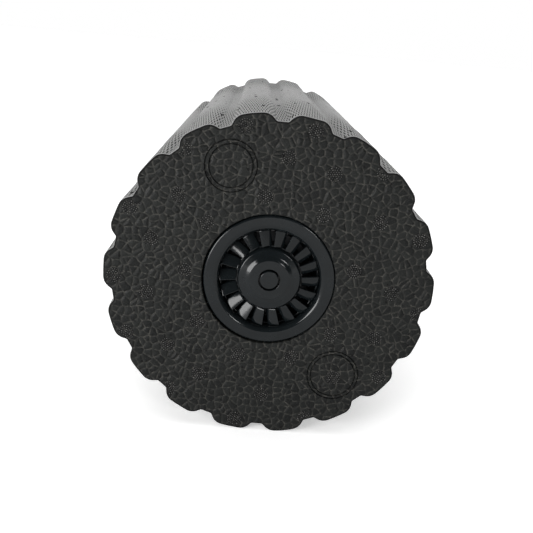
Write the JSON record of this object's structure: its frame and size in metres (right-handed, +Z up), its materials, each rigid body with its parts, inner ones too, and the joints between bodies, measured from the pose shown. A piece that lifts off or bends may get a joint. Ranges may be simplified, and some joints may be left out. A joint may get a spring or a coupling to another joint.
{
  "type": "vibrating foam roller",
  "caption": "Cylindrical massage roller with a lobed bead-foam body, a powered vibrating core and a push button in a vaned end cap.",
  "frame": {"origin": "on the surface that the roller lies on, below the middle of its length", "axes": "+Z up; +Y along the roller's axis, away from the end with the power button; +X to the right seen from that end"},
  "size_m": [0.15, 0.3, 0.149],
  "materials": {
    "bead_foam": "matte",
    "gloss_trim": "gloss",
    "core_plastic": "matte",
    "black_plastic": "matte",
    "black_rubber": "matte",
    "circuit_board": "satin",
    "cell_wrap": "gloss",
    "red_lead": "satin",
    "black_lead": "satin",
    "copper_winding": "satin",
    "bright_steel": "satin",
    "weight_steel": "satin",
    "screw_steel": "satin"
  },
  "bodies": {
    "roller": {"foam_body": "bead_foam", "core_shell_upper": "core_plastic", "core_shell_lower": "core_plastic", "core_shell_screw_1": "screw_steel", "core_shell_screw_2": "screw_steel", "core_shell_screw_3": "screw_steel", "core_shell_screw_4": "screw_steel", "core_shell_screw_5": "screw_steel", "core_shell_screw_6": "screw_steel", "front_bezel": "gloss_trim", "front_vane_ring": "gloss_trim", "front_hub": "gloss_trim", "front_cap_screw_1": "screw_steel", "front_cap_screw_2": "screw_steel", "front_cap_screw_3": "screw_steel", "rear_bezel": "gloss_trim", "rear_vane_ring": "gloss_trim", "rear_hub": "gloss_trim", "rear_cap_screw_1": "screw_steel", "rear_cap_screw_2": "screw_steel", "rear_cap_screw_3": "screw_steel", "switch_body": "black_plastic", "control_board": "circuit_board", "driver_chip": "black_plastic", "charge_socket": "black_plastic", "charge_board": "circuit_board", "motor_can": "bright_steel", "motor_end_bell": "black_plastic", "motor_stator": "copper_winding", "motor_bearing_front": "bright_steel", "motor_bearing_rear": "bright_steel", "motor_mount_ring_front": "black_rubber", "motor_mount_ring_rear": "black_rubber", "battery_cell_1": "cell_wrap", "battery_cell_2": "cell_wrap", "battery_cell_3": "cell_wrap", "cell_holder_front": "black_plastic", "cell_holder_rear": "black_plastic", "motor_lead_1": "black_lead", "motor_lead_2": "red_lead", "motor_lead_3": "black_lead", "battery_lead_positive": "red_lead", "battery_lead_negative": "black_lead", "charge_lead_positive": "red_lead", "charge_lead_negative": "black_lead"},
    "power_button": {"power_button": "gloss_trim", "switch_plunger": "black_plastic"},
    "vibration_rotor": {"motor_shaft": "bright_steel", "rotor_magnet": "weight_steel", "eccentric_weight_front": "weight_steel", "eccentric_weight_rear": "weight_steel", "weight_set_screw_front": "screw_steel", "weight_set_screw_rear": "screw_steel"},
    "charge_port_plug": {"charge_port_plug": "black_rubber"}
  },
  "joints": [
    {"name": "power_button_press", "type": "slide", "parent": "roller", "child": "power_button", "axis": [0, 1, 0], "range_m": [0, 0.0008], "stiffness_N_per_m": 1500, "springref_m": -0.0005},
    {"name": "vibration_rotor_spin", "type": "hinge", "parent": "roller", "child": "vibration_rotor", "pos_m": [0, 0, 0.07451], "axis": [0, 1, 0], "continuous": true},
    {"name": "charge_port_plug_pull", "type": "slide", "parent": "roller", "child": "charge_port_plug", "axis": [0, 1, 0], "range_m": [0, 0.012]}
  ]
}
